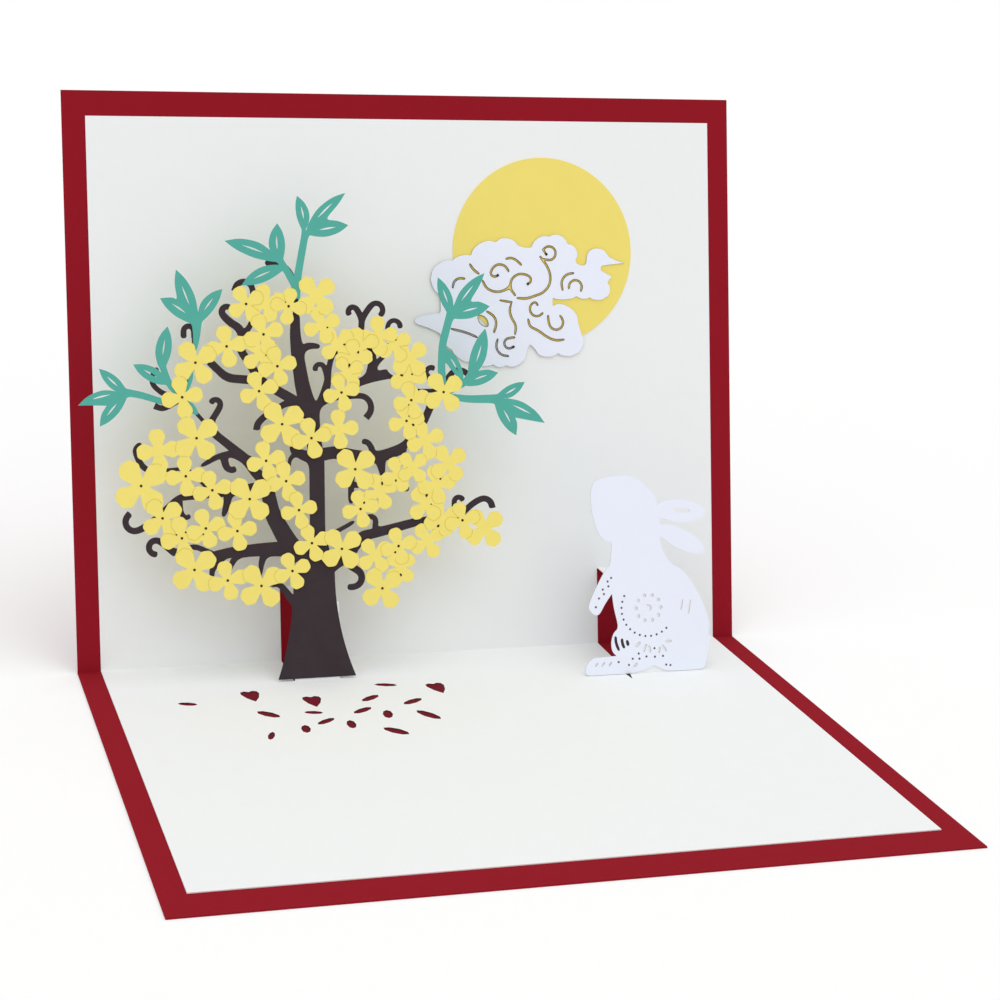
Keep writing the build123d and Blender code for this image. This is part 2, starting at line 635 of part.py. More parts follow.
RABBIT_HEAD = (
    (-12.4, 35.6, 1.1),
    (-16.8, 45.5, 1.4),
    (-13.5, 52.3, 0.7),
    (-4.5, 52.4, 1.6),
    (1.5, 45.0, 0.3),
    (2.4, 37.0, 0),
)
UPPER_EAR = ((0.8, 43.8, 3.2), (15.6, 42.2, 3.2))
LOWER_EAR = ((1.5, 39.0, 2.7), (15.2, 31.8, 2.7))

# Pierced ornament of the rabbit
ROSETTE = (-1.2, 17.35)
RABBIT_DOTS = (
    (-11.6, 25.8), (-12.6, 24.9), (-12.4, 23.6), (-14, 22.8), (-13.7, 21.6), (-15.1, 20.5), (-16, 18.2),
    (-4.1, 5.2), (-1.9, 4.3), (0.5, 4.1), (2.8, 4.2), (-3.9, 3.8), (-5.8, 3.9), (-9.8, 3.2), (-6.9, 2.3),
    (3.7, 1.8), (4.9, 1.6), (0.4, 6.4),
)
RABBIT_SLITS = (
    (0.8, ((-10.6, 10.2), (-10.5, 8.3), (-9.6, 6.2))),
    (0.8, ((-8.8, 9.5), (-8.7, 8.1), (-8.1, 6.8))),
    (0.9, ((-7.4, 9), (-7, 7.4))),
    (0.9, ((-3.6, 8.3), (-5, 7))),
    (0.7, ((-1.8, 7.6), (-2.5, 6.6), (-2.6, 5.6))),
    (0.8, ((-1.2, 7.2), (-0.8, 5.3))),
    (0.7, ((1.9, 6.7), (1.6, 5))),
    (0.8, ((2.5, 7.2), (3.8, 5.4))),
    (0.8, ((3.6, 8.1), (5.3, 8.1))),
    (0.7, ((-1.7, 18.2), (-0.5, 17.8), (-0.7, 16.6))),
    (0.5, ((-16.5, 2.3), (-15.6, 3.4))),
    (0.5, ((-14.6, 2.3), (-13.7, 3.4))),
    (0.5, ((-12.6, 2.3), (-11.7, 3.4))),
    (0.7, ((-5.6, 1.7), (-4.5, 2.7))),
    (0.5, ((8, 16.2), (8.6, 19.2))),
    (0.5, ((10.2, 15.2), (10.8, 19))),
    (1.2, ((6.3, 43.3), (11, 42.9))),
)

# Rabbit, one sheet on the front of the right step
with BuildPart() as rabbit:
    with BuildSketch(upright(RABBIT_DEPTH, 0, RABBIT_X, RABBIT_LIFT)):
        add([rounded(RABBIT_BODY), rounded(RABBIT_HEAD), rounded(UPPER_EAR), rounded(LOWER_EAR)])
        with Locations(*RABBIT_DOTS):
            RegularPolygon(RABBIT_DOT, 4, mode=Mode.SUBTRACT)
        with Locations(ROSETTE):
            with PolarLocations(ROSETTE_RING, 10):
                RegularPolygon(ROSETTE_DOT, 4, mode=Mode.SUBTRACT)
            with PolarLocations(BELLY_RING, 14, start_angle=153, angular_range=171):
                RegularPolygon(RABBIT_DOT, 4, mode=Mode.SUBTRACT)
        add([strip(width, width, route) for width, route in RABBIT_SLITS], mode=Mode.SUBTRACT)
        scale(by=RABBIT_UNIT)
    extrude(amount=PAPER_THICK)

for name, (stems, leaves) in SPRIGS.items():
    leaf_sprig(name, stems, leaves)

cover.part.label = "cover"
export_step(cover.part, "parts/cover.step")
liner.part.label = "liner"
export_step(liner.part, "parts/liner.step")
moon.part.label = "moon"
export_step(moon.part, "parts/moon.step")
cloud.part.label = "cloud"
export_step(cloud.part, "parts/cloud.step")
tree_branches.part.label = "tree_branches"
export_step(tree_branches.part, "parts/tree_branches.step")
blossoms.part.label = "blossoms"
export_step(blossoms.part, "parts/blossoms.step")
rabbit.part.label = "rabbit"
export_step(rabbit.part, "parts/rabbit.step")
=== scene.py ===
from math import atan2, cos, inf, pi, radians, sin

import bmesh
import bpy
from mathutils import Matrix, Vector


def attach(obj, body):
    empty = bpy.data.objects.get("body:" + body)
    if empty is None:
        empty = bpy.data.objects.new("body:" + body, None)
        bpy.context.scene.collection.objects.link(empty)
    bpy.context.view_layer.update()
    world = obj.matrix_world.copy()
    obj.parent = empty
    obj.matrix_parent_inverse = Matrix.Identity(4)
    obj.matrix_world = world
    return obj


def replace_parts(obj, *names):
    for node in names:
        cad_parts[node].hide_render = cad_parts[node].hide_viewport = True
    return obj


# A paper pop up card on a pale floor, seen from the front left. Lengths are in metres, apart
# from those that a comment gives in millimetres.
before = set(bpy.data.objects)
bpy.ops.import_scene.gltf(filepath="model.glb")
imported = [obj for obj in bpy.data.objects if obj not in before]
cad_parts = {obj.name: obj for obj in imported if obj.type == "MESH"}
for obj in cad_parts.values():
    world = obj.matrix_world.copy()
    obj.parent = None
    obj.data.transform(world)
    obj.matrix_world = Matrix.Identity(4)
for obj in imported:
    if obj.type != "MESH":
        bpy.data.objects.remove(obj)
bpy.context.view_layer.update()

# Camera: what it looks at, where it stands, how it is turned, and its lens in millimetres
CAMERA_TARGET = Vector((0.00979, 0.0382, 0.05299))
CAMERA_DISTANCE = 0.5809
CAMERA_AZIMUTH = radians(-17.24)
CAMERA_ELEVATION = radians(14.87)
CAMERA_ROLL = radians(2.44)
CAMERA_LENS = 83.1

# Light and floor, with what the camera sees of the world and the floor's own glow
WORLD_STRENGTH = 0.76
WORLD_SEEN = 1.0
SUN_FROM = Vector((0.1, -0.32, 0.94))
SUN_STRENGTH = 0.85
SUN_ANGLE = radians(60)
FLOOR_SIZE = 12.0
FLOOR_GLOW = 0.06
WHITE = (1, 1, 1, 1)

# Papers: colour as it looks on screen, 0 to 255, and the share by which shades differ from it
RED_CARD = ((145, 24, 37), 0.05)
LINER_PAPER = ((241, 243, 243), 0.015)
MOON_PAPER = ((243, 224, 119), 0.03)
WHITE_PAPER = ((238, 242, 255), 0.015)
BROWN_PAPER = ((62, 53, 57), 0.25)
GREEN_PAPER = ((88, 174, 160), 0.08)
YELLOW_PAPER = ((245, 227, 122), 0.04)

# Burnt rims partly painted shade, then painted shade and painted shadow lines, in the same way
SCORCH_AND_SHADE_LINE = ((112, 84, 56), 0.2)
BURNT_AND_SHADED_HOLE = ((66, 48, 34), 0.2)
RIM_BURN_AND_SHADE_RED = ((78, 34, 36), 0.2)
SHADED_RED = ((112, 28, 40), 0.1)
PAINTED_HOLE_SHADE = ((108, 105, 113), 0.1)
DEEP_SHADE = ((66, 58, 60), 0.1)
PETAL_SHADOW_LINE = ((222, 200, 100), 0.1)

# Plain colours of cut edges and of the floor
SCORCHED_EDGE = (140, 98, 52)
SHADED_EDGE = (206, 203, 200)
FLOOR_COLOUR = (247, 247, 247)

# Paper surface: a grain of fibres, and shades of pulp
FIBRE_SIZE = 0.0012
FIBRE_HEIGHT = 0.00002
FIBRE_DETAIL = 2
PULP_SIZE = 0.006
PULP_DETAIL = 6
PULP_ROUGHNESS = 0.7
PAPER_ROUGHNESS = 0.9
PAPER_SHINE = 0.06

# The upright papers: how far the card is open, their way up, the way they face, their thickness
OPEN_ANGLE = radians(101.6)
SHEET_UP = Vector((0, -cos(OPEN_ANGLE), sin(OPEN_ANGLE)))
SHEET_NORMAL = Vector((0, -sin(OPEN_ANGLE), -cos(OPEN_ANGLE)))
PAPER_THICK = 0.00025

# Planes that pieces lie along, each by its way up and the way it faces
UPRIGHT = (SHEET_UP, SHEET_NORMAL)
FLAT = (Vector((0, 1, 0)), Vector((0, 0, 1)))

# Of the liner's faces that look up, only those of its base lie below this height
BASE_LIMIT = 0.002

# How squarely a face looks the way its sheet does: the front's least cosine, and the least
# squared cosine of front and back, below which a face is a cut edge
FRONT_FACING = 0.9
SHEET_FACING = 0.5

# Rounding of a cut outline: how far from a corner it starts at bends, at petals and at sharp
# tips, and the most of an edge that it takes
BEND_REACH = 0.002
PETAL_BEND_REACH = 0.0007
TIP_REACH = 0.00012
EDGE_SHARE = 0.5

# A corner is a sharp tip from this turn on, unless an edge at it is shorter than this. Each
# corner is drawn in steps.
SHARP_TURN = radians(72)
SHORT_EDGE = 0.0017
CORNER_STEPS = 4

# Points closer than this are one: along an outline, in a mesh, and a leaf's in the CAD sheet
MERGE = 1e-6
WELD = 1e-7
SAME_POINT = 2e-5

# Drawings are in millimetres
DRAWING_SCALE = 1000

# Fine lines and dots of burn and painted shade by half their width, how far a dot's ring is
# drawn in, and the fewest points of a painted shadow line along a petal
SCORCH_AND_SHADE_SIZE = 0.00008
PETAL_SHADOW_SIZE = 0.00007
RIM_BURN_AND_SHADE_SIZE = 0.000125
HOLE_SIZE = 0.00019
HOLE_SHARE = 0.5
SHORTEST_RUN = 3

# Thickness of a patch of shade
SHADE_THICK = 0.00005

# Cut-outs with an outline shorter than this: holes of blossoms, dots of the rabbit, fallen petals
SMALL_HOLE = 0.004
SMALL_DOT = 0.003
FALLEN_PETAL = 0.03

# Blossoms in millimetres, from the middle of the trunk's foot: place, radius, turn of the first
# petal in degrees. Each lies on the ones before it.
BLOSSOMS = (
    (-11.3, 97.3, 5.0, 15),
    (-13.2, 84.2, 5.0, 35),
    (-40.0, 60.3, 5.6, 5),
    (15.8, 31.3, 5.0, 35),
    (30.0, 34.6, 5.0, 30),
    (22.7, 27.8, 4.6, 40),
    (34.0, 40.3, 5.0, 20),
    (45.8, 37.3, 5.8, 38),
    (29.8, 44.3, 5.2, 40),
    (32.8, 49.3, 5.2, 10),
    (36.2, 54.8, 5.4, 35),
    (30.0, 61.0, 5.2, 20),
    (25.8, 77.0, 5.0, 10),
    (26.2, 82.5, 5.4, 40),
    (22.2, 86.0, 4.8, 30),
    (18.0, 88.5, 5.2, 5),
    (13.2, 86.0, 5.0, 20),
    (7.0, 86.5, 5.0, 40),
    (11.3, 82.8, 5.0, 5),
    (9.5, 79.0, 4.6, 30),
    (3.0, 91.5, 5.0, 20),
    (1.7, 99.0, 5.8, 40),
    (7.0, 64.5, 5.2, 5),
    (17.5, 48.0, 5.0, 25),
    (22.5, 52.3, 4.8, 20),
    (26.4, 54.0, 4.6, 40),
    (-16.6, 97.1, 5.0, 30),
    (-5.6, 96.4, 4.8, 80),
    (-21.9, 86.4, 5.4, 10),
    (-12.3, 89.3, 5.4, 20),
    (-8.9, 81.1, 5.2, 14),
    (-30.0, 82.4, 6.0, 33),
    (-33.6, 73.7, 5.4, 10),
    (-30.2, 63.2, 6.3, 38),
    (-44.6, 51.5, 7.4, 36),
    (-39.4, 43.1, 5.6, 35),
    (-34.6, 37.8, 5.6, 10),
    (-31.6, 29.6, 6.4, 36),
    (-23.1, 26.5, 5.2, 13),
    (-14.4, 24.7, 6.3, 38),
    (-6.2, 28.2, 5.0, 22),
    (-0.9, 35.2, 5.0, 20),
    (7.0, 33.4, 6.0, 38),
    (22.2, 33.5, 5.0, 15),
    (17.6, 22.6, 6.0, 35),
    (39.7, 39.6, 5.0, 15),
    (25.0, 66.2, 5.0, 15),
    (26.4, 71.6, 5.0, 15),
    (35.2, 73.5, 5.8, 36),
    (7.8, 74.0, 5.0, 15),
    (-13.8, 74.8, 5.2, 20),
    (-8.0, 66.2, 6.4, 35),
    (-0.4, 62.4, 5.4, 14),
    (-12.4, 56.9, 5.2, 14),
    (-7.3, 51.5, 5.2, 12),
    (-4.1, 43.9, 4.9, 12),
    (11.0, 54.0, 6.2, 40),
    (12.2, 43.6, 5.0, 12),
    (-33.2, 53.6, 5.2, 5),
    (-26.5, 49.8, 5.2, 14),
    (-28.4, 40.1, 5.2, 17),
    (-20.3, 39.1, 5.2, 10),
    (-16.9, 47.2, 6.4, 40),
)

# A blossom's petals, a quarter of a turn each. A petal's outline goes by quarters of a turn from
# its middle and share of the radius, and its side is one half of it, from the middle on.
PETALS = 4
QUARTER = pi / 2
PETAL_SHAPE = ((-0.5, 0.27), (-0.35, 0.78), (-0.14, 1.0), (0.14, 1.0), (0.35, 0.78))
PETAL_SIDE = ((0.0, 1.0), (0.14, 1.0), (0.35, 0.78), (0.5, 0.27))

# Leaves in millimetres, from the same place: foot, tip, width, and how far the middle is bent
# to the left of the way from foot to tip
LEAVES = (
    (-1, 115.4, -2.7, 124.6, 4.0, -0.6),
    (-0.6, 115.2, 10, 125.4, 3.7, 0.6),
    (-0.8, 115.2, 10.6, 117.1, 4.8, 0.1),
    (-7.5, 107.4, -8, 117.6, 5.0, 0.5),
    (-7.2, 107.9, -21.7, 113.2, 4.8, -0.6),
    (-6.2, 106.6, -17.6, 101.9, 4.5, -0.4),
    (-29.4, 92.6, -34.3, 106, 5.0, 0.1),
    (-29.4, 92.3, -38.5, 98.8, 5.0, -0.7),
    (-29.2, 92.3, -22.6, 101, 4.3, 0.6),
    (-38.7, 80.5, -36.8, 91.7, 4.8, 0.2),
    (-37, 77, -45.7, 82.2, 4.3, -0.2),
    (-34, 73.6, -30.6, 80.3, 2.9, 0.2),
    (-33.8, 73, -29.5, 69, 2.6, 0.2),
    (-47.4, 74.7, -54.3, 81.3, 3.6, 0.1),
    (-47.4, 75, -59.8, 72.2, 3.6, -0.8),
    (-47.4, 75, -54.5, 66.8, 4.3, -0.4),
    (38, 93.2, 34.3, 103.5, 3.9, -0.2),
    (37.8, 93.2, 47, 104.5, 4.1, 0.5),
    (37.4, 93.2, 48.3, 95.8, 5.2, 0.5),
    (35.1, 85.7, 40.8, 76, 3.5, 0.3),
    (42.4, 76.6, 47, 90, 5.0, -0.4),
    (40.6, 75.3, 50.3, 78.3, 4.5, 0.4),
    (49.4, 71.5, 57.6, 75.7, 3.6, -0.3),
    (49.4, 71.3, 63, 64.7, 4.3, 0.7),
    (49.4, 71.8, 55, 61.6, 5.0, 0.4),
)

# Where a leaf's sides and its vein have their corners, how fast its sides taper, and how much
# slimmer leaf and vein are than in the CAD sheet
LEAF_STATIONS = (0.16, 0.45, 0.78)
VEIN_STATIONS = ((0.32, 0.0), (0.52, 0.375), (0.72, 0.0))
LEAF_TAPER = 0.75
LEAF_SLIM = 0.92
VEIN_SLIM = 0.8

# Small pushes on the cut outlines, in millimetres along X and up the sheet: place, push, and
# how far it reaches
RABBIT_PUSHES = (
    (42.4, 61.8, -1.7, 0.3, 2.6),
    (43.4, 48.2, -0.8, -0.4, 3.0),
    (56.5, 61.6, -1.8, 0.0, 4.0),
)
CLOUD_PUSHES = (
    (1.3, 106.2, 0.0, 1.5, 3.2),
    (1.9, 104.8, -0.4, -1.7, 3.2),
)

# Dots at the inner ends of the cloud's scrolls, burnt rims with painted shade in their holes,
# in millimetres along X and up the sheet, and a dot's corners
SCROLL_ENDS = ((24.0, 117.4), (32.5, 115.0), (37.9, 123.0), (28.1, 98.0))
DOT_CORNERS = ((-0.3, 0), (0, -0.3), (0.3, 0), (0, 0.3))

# The slits on the rabbit's paw: a place on the sheet and how near it they lie, in millimetres
PAW = (49.2, 18.8)
PAW_REACH = 2.5

# Painted shade at the slit's open end beside the rabbit's step, a triangle on the base, in
# millimetres
SLIT_END_SHADE = ((50.2, 48.8), (51.5, 48.8), (50.7, 45.0))


def linear(colour):
    """A colour as it looks on screen, as linear values for a shader, by the sRGB formula."""
    values = []
    for channel in colour:
        share = channel / 255
        values.append(share / 12.92 if share <= 0.04045 else ((share + 0.055) / 1.055) ** 2.4)
    return (*values, 1.0)


def shade(colour, level):
    """A colour's linear values, made darker or lighter."""
    red, green, blue, alpha = linear(colour)
    return (red * level, green * level, blue * level, alpha)


def matt(name, colour):
    """A plain matt surface."""
    material = bpy.data.materials.new(name)
    material.use_nodes = True
    shader = material.node_tree.nodes["Principled BSDF"]
    shader.inputs["Base Color"].default_value = linear(colour)
    shader.inputs["Roughness"].default_value = PAPER_ROUGHNESS
    shader.inputs["Specular IOR Level"].default_value = PAPER_SHINE
    return material


def paper(name, colour, mottle):
    """Matt paper with a grain of fibres, in shades that differ a little from the colour."""
    material = matt(name, colour)
    nodes = material.node_tree.nodes
    links = material.node_tree.links
    shader = nodes["Principled BSDF"]
    place = nodes.new("ShaderNodeTexCoord")
    fibres = nodes.new("ShaderNodeTexNoise")
    fibres.inputs["Scale"].default_value = 1 / FIBRE_SIZE
    fibres.inputs["Detail"].default_value = FIBRE_DETAIL
    bump = nodes.new("ShaderNodeBump")
    bump.inputs["Distance"].default_value = FIBRE_HEIGHT
    pulp = nodes.new("ShaderNodeTexNoise")
    pulp.inputs["Scale"].default_value = 1 / PULP_SIZE
    pulp.inputs["Detail"].default_value = PULP_DETAIL
    pulp.inputs["Roughness"].default_value = PULP_ROUGHNESS
    shades = nodes.new("ShaderNodeMix")
    shades.name = "shades"
    shades.data_type = "RGBA"
    shades.inputs["A"].default_value = shade(colour, 1 - mottle)
    shades.inputs["B"].default_value = shade(colour, 1 + mottle)
    links.new(place.outputs["Object"], fibres.inputs["Vector"])
    links.new(place.outputs["Object"], pulp.inputs["Vector"])
    links.new(fibres.outputs["Fac"], bump.inputs["Height"])
    links.new(bump.outputs["Normal"], shader.inputs["Normal"])
    links.new(pulp.outputs["Fac"], shades.inputs["Factor"])
    links.new(shades.outputs["Result"], shader.inputs["Base Color"])
    return material


def scorch(material, colour):
    """Gives the cut edges of an upright sheet, the faces that lie across it, their own colour."""
    nodes = material.node_tree.nodes
    links = material.node_tree.links
    shader = nodes["Principled BSDF"]
    geometry = nodes.new("ShaderNodeNewGeometry")
    facing = nodes.new("ShaderNodeVectorMath")
    facing.operation = "DOT_PRODUCT"
    facing.inputs[1].default_value = SHEET_NORMAL
    square = nodes.new("ShaderNodeMath")
    square.operation = "MULTIPLY"
    is_sheet = nodes.new("ShaderNodeMath")
    is_sheet.operation = "GREATER_THAN"
    is_sheet.inputs[1].default_value = SHEET_FACING
    blend = nodes.new("ShaderNodeMix")
    blend.data_type = "RGBA"
    blend.inputs["A"].default_value = linear(colour)
    links.new(geometry.outputs["True Normal"], facing.inputs[0])
    links.new(facing.outputs["Value"], square.inputs[0])
    links.new(facing.outputs["Value"], square.inputs[1])
    links.new(square.outputs["Value"], is_sheet.inputs[0])
    links.new(is_sheet.outputs["Value"], blend.inputs["Factor"])
    links.new(nodes["shades"].outputs["Result"], blend.inputs["B"])
    links.new(blend.outputs["Result"], shader.inputs["Base Color"])
    return material


def seen_strength(tree, strength, seen, socket):
    """Gives a light one strength for light rays, and one for what camera, gloss and glass show."""
    rays = tree.nodes.new("ShaderNodeLightPath")
    direct = tree.nodes.new("ShaderNodeMath")
    direct.operation = "MAXIMUM"
    shown = tree.nodes.new("ShaderNodeMath")
    shown.operation = "MAXIMUM"
    level = tree.nodes.new("ShaderNodeMapRange")
    level.inputs["To Min"].default_value = strength
    level.inputs["To Max"].default_value = seen
    tree.links.new(rays.outputs["Is Camera Ray"], direct.inputs[0])
    tree.links.new(rays.outputs["Is Glossy Ray"], direct.inputs[1])
    tree.links.new(direct.outputs["Value"], shown.inputs[0])
    tree.links.new(rays.outputs["Is Transmission Ray"], shown.inputs[1])
    tree.links.new(shown.outputs["Value"], level.inputs["Value"])
    tree.links.new(level.outputs["Result"], socket)


def dress(node_name, material):
    """Gives a CAD node its material."""
    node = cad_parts[node_name]
    node.data.materials.clear()
    node.data.materials.append(material)


def outlines(node, plane, limit):
    """The outlines of a sheet's front, along X and up the sheet, and how far forward it lies."""
    up, normal = plane
    shape = bmesh.new()
    shape.from_mesh(node.data)
    bmesh.ops.remove_doubles(shape, verts=shape.verts, dist=WELD)
    front = []
    for face in shape.faces:
        looks_forward = face.normal.dot(normal) > FRONT_FACING
        if looks_forward and face.calc_center_median().dot(normal) < limit:
            front.append(face)
    inside = set(front)
    onward = {}
    for face in front:
        for loop in face.loops:
            if not inside.issuperset(loop.edge.link_faces):
                onward[loop.vert] = loop.link_loop_next.vert
    closed = []
    while onward:
        first, vert = onward.popitem()
        path = [first]
        while vert != first:
            path.append(vert)
            vert = onward.pop(vert)
        closed.append([Vector((point.co.x, point.co.dot(up))) for point in path])
    forward = max(vert.co.dot(normal) for face in front for vert in face.verts)
    shape.free()
    return closed, forward


def rounded(points, bend_reach=BEND_REACH):
    """A closed outline whose bends are rounded and whose sharp tips are barely blunted."""
    smooth = []
    for before, corner, after in zip(points[-1:] + points[:-1], points, points[1:] + points[:1]):
        behind = before - corner
        ahead = after - corner
        turn = pi - behind.angle(ahead)
        short = min(behind.length, ahead.length) < SHORT_EDGE
        reach = bend_reach if turn < SHARP_TURN or short else TIP_REACH
        start = corner + behind * min(EDGE_SHARE, reach / behind.length)
        end = corner + ahead * min(EDGE_SHARE, reach / ahead.length)
        for step in range(CORNER_STEPS + 1):
            share = step / CORNER_STEPS
            point = start.lerp(corner, share).lerp(corner.lerp(end, share), share)
            if not smooth or (point - smooth[-1]).length > MERGE:
                smooth.append(point)
    return smooth


def moved(point, moves):
    """A point of an outline, at its new place if it is one of those that move."""
    for old, new in moves:
        if (point - old).length < SAME_POINT:
            return new
    return point


def pushed(point, pushes):
    """A point of an outline after small pushes, each weaker with the distance from its place."""
    place = point.copy()
    for x, y, along, up, reach in pushes:
        share = 1 - (point * DRAWING_SCALE - Vector((x, y))).length / reach
        if share > 0:
            place += Vector((along, up)) * share / DRAWING_SCALE
    return place


def middle(outline):
    """The middle of an outline's points."""
    return sum(outline, Vector((0, 0))) / len(outline)


def far_corner(points):
    """The largest X and the largest height among points."""
    return Vector((max(point.x for point in points), max(point.y for point in points)))


def shrunk(outline, share):
    """A closed outline drawn in towards its middle."""
    return [middle(outline).lerp(point, share) for point in outline]


def girth(outline):
    """The length of a closed outline."""
    ahead = outline[1:] + outline[:1]
    return sum((after - before).length for before, after in zip(outline, ahead))


def rings(cuts, longest):
    """Rings well inside those cut-outs whose outline is shorter than this."""
    return [shrunk(rounded(cut), HOLE_SHARE) for cut in cuts if girth(cut) < longest]


def draw(curve, points, closed):
    """Adds a line to a curve that is drawn in millimetres along X and up a sheet."""
    spline = curve.splines.new("POLY")
    spline.points.add(len(points) - 1)
    spline.use_cyclic_u = closed
    for control, point in zip(spline.points, points):
        control.co = (point.x * DRAWING_SCALE, point.y * DRAWING_SCALE, 0, 1)


def filled(name, cuts, thick):
    """A flat drawing of this thickness that fills outlines, less those that lie inside others."""
    curve = bpy.data.curves.new(name, "CURVE")
    curve.dimensions = "2D"
    curve.fill_mode = "BOTH"
    curve.extrude = thick * DRAWING_SCALE / 2
    for outline in cuts:
        draw(curve, outline, True)
    return curve


def beaded(name, runs, size, closed=True):
    """A drawing of fine round lines of half this width."""
    curve = bpy.data.curves.new(name, "CURVE")
    curve.dimensions = "3D"
    curve.bevel_depth = size * DRAWING_SCALE
    curve.bevel_resolution = 0
    curve.use_fill_caps = True
    for run in runs:
        draw(curve, run, closed)
    return curve


def piece_from(curve, plane, forward, material):
    """A piece of the card from a drawing, parallel to a plane and this far forward."""
    up, normal = plane
    drawing = bpy.data.objects.new(curve.name, curve)
    mesh = bpy.data.meshes.new_from_object(drawing)
    mesh.name = curve.name
    bpy.data.objects.remove(drawing)
    turn = Matrix((Vector((1, 0, 0)), up, normal)).transposed().to_4x4()
    to_metres = Matrix.Scale(1 / DRAWING_SCALE, 4)
    mesh.transform(Matrix.Translation(normal * forward) @ turn @ to_metres)
    shape = bmesh.new()
    shape.from_mesh(mesh)
    bmesh.ops.remove_doubles(shape, verts=shape.verts, dist=WELD)
    bmesh.ops.recalc_face_normals(shape, faces=shape.faces)
    shape.to_mesh(mesh)
    shape.free()
    mesh.materials.clear()
    mesh.materials.append(material)
    piece = bpy.data.objects.new(mesh.name, mesh)
    bpy.context.collection.objects.link(piece)
    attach(piece, "root")
    return piece


def cut_sheet(node_name, material, bend_reach=BEND_REACH, moves=(), pushes=()):
    """A paper sheet in place of a CAD node, cut to its outlines with their corners rounded."""
    closed, forward = outlines(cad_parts[node_name], UPRIGHT, inf)
    cuts = []
    for outline in closed:
        points = [pushed(moved(point, moves), pushes) for point in outline]
        cuts.append(rounded(points, bend_reach))
    curve = filled(node_name + "_sheet", cuts, PAPER_THICK)
    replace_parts(piece_from(curve, UPRIGHT, forward - PAPER_THICK / 2, material), node_name)
    return closed, forward


def petals(x, y, radius, turn):
    """The outline of a blossom, its first petal turned from the X direction."""
    outline = []
    for quarter in range(PETALS):
        for across, out in PETAL_SHAPE:
            angle = radians(turn) + QUARTER * (quarter + across)
            reach = radius * out
            point = Vector((x + reach * cos(angle), y + reach * sin(angle)))
            outline.append(point / DRAWING_SCALE)
    return outline


def covers(blossom, point):
    """Whether a point lies on a blossom, from the petals' reach in that direction."""
    x, y, radius, turn = blossom
    away = point * DRAWING_SCALE - Vector((x, y))
    if away.length > radius:
        return False
    quarters = (atan2(away.y, away.x) - radians(turn)) / QUARTER
    across = abs(quarters - round(quarters))
    for (wide, far), (narrow, near) in zip(PETAL_SIDE, PETAL_SIDE[1:]):
        if across <= narrow:
            share = (across - wide) / (narrow - wide)
            return away.length < radius * (far + (near - far) * share)
    return False


def petal_shadow_lines(trunk_foot):
    """Runs of painted shadow along blossom edges that lie on other blossoms, later ones on earlier
    ones.
    """
    runs = []
    for place, blossom in enumerate(BLOSSOMS):
        run = []
        edge = rounded(petals(*blossom), PETAL_BEND_REACH)
        for point in edge + edge[:1]:
            on_others = any(covers(other, point) for other in BLOSSOMS[:place])
            hidden = any(covers(other, point) for other in BLOSSOMS[place + 1:])
            if on_others and not hidden:
                run.append(point + trunk_foot)
            else:
                runs.append(run)
                run = []
        runs.append(run)
    return [run for run in runs if len(run) >= SHORTEST_RUN]


def leaf_moves(trunk_foot):
    """Pairs of points: a corner of a leaf in the CAD sheet, and its place on the leaf here."""
    pairs = []
    for x0, y0, x1, y1, width, bend in LEAVES:
        foot = Vector((x0, y0))
        along = Vector((x1, y1)) - foot
        across = Vector((-along.y, along.x)).normalized()
        corners = []
        for share in LEAF_STATIONS:
            corners.append((share, width / 2 * sin(pi * share) ** LEAF_TAPER, LEAF_SLIM))
        corners += [(share, half, VEIN_SLIM) for share, half in VEIN_STATIONS]
        for share, half, slim in corners:
            # A bow that is 0 at both ends and the whole bend in the middle
            bow = bend * 4 * share * (1 - share)
            for side in (-1, 1):
                old = foot + along * share + across * half * side
                new = foot + along * share + across * (half * side * slim + bow)
                pairs.append((trunk_foot + old / DRAWING_SCALE, trunk_foot + new / DRAWING_SCALE))
    return pairs


def camera_matrix():
    """The camera's place and turn, from its angles round the target."""
    back = Vector((
        sin(CAMERA_AZIMUTH) * cos(CAMERA_ELEVATION),
        -cos(CAMERA_AZIMUTH) * cos(CAMERA_ELEVATION),
        sin(CAMERA_ELEVATION),
    ))
    right = Vector((0, 0, 1)).cross(back).normalized()
    up = back.cross(right)
    rolled_right = right * cos(CAMERA_ROLL) + up * sin(CAMERA_ROLL)
    rolled_up = up * cos(CAMERA_ROLL) - right * sin(CAMERA_ROLL)
    turn = Matrix((rolled_right, rolled_up, back)).transposed().to_4x4()
    return Matrix.Translation(CAMERA_TARGET + back * CAMERA_DISTANCE) @ turn


# Folded card and moon, which keep their CAD shapes
dress("cover", paper("red_card", *RED_CARD))
dress("liner", paper("liner_paper", *LINER_PAPER))
dress("moon", paper("moon_paper", *MOON_PAPER))

# Marks on the base: burnt rims with painted shade and painted shade inside the fallen petals,
# and painted shade at the end of a slit
base_cuts, base_top = outlines(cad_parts["liner"], FLAT, BASE_LIMIT)
fallen = [cut for cut in base_cuts if girth(cut) < FALLEN_PETAL]
rim_burn_and_shade_red = paper("rim_burn_and_shade_red", *RIM_BURN_AND_SHADE_RED)
fallen_rims_and_shade = beaded("fallen_petal_edges", fallen, RIM_BURN_AND_SHADE_SIZE)
piece_from(fallen_rims_and_shade, FLAT, base_top - RIM_BURN_AND_SHADE_SIZE, rim_burn_and_shade_red)
shaded_red = paper("shaded_red", *SHADED_RED)
fallen_shade = filled("fallen_petal_shade", fallen, SHADE_THICK)
fallen_height = base_top - PAPER_THICK + SHADE_THICK / 2
piece_from(fallen_shade, FLAT, fallen_height, shaded_red)
deep_shade = paper("deep_shade", *DEEP_SHADE)
slit_shade_corners = [Vector(point) / DRAWING_SCALE for point in SLIT_END_SHADE]
slit_end_shade = filled("slit_end_shade", [slit_shade_corners], SHADE_THICK)
piece_from(slit_end_shade, FLAT, base_top + SHADE_THICK / 2, deep_shade)
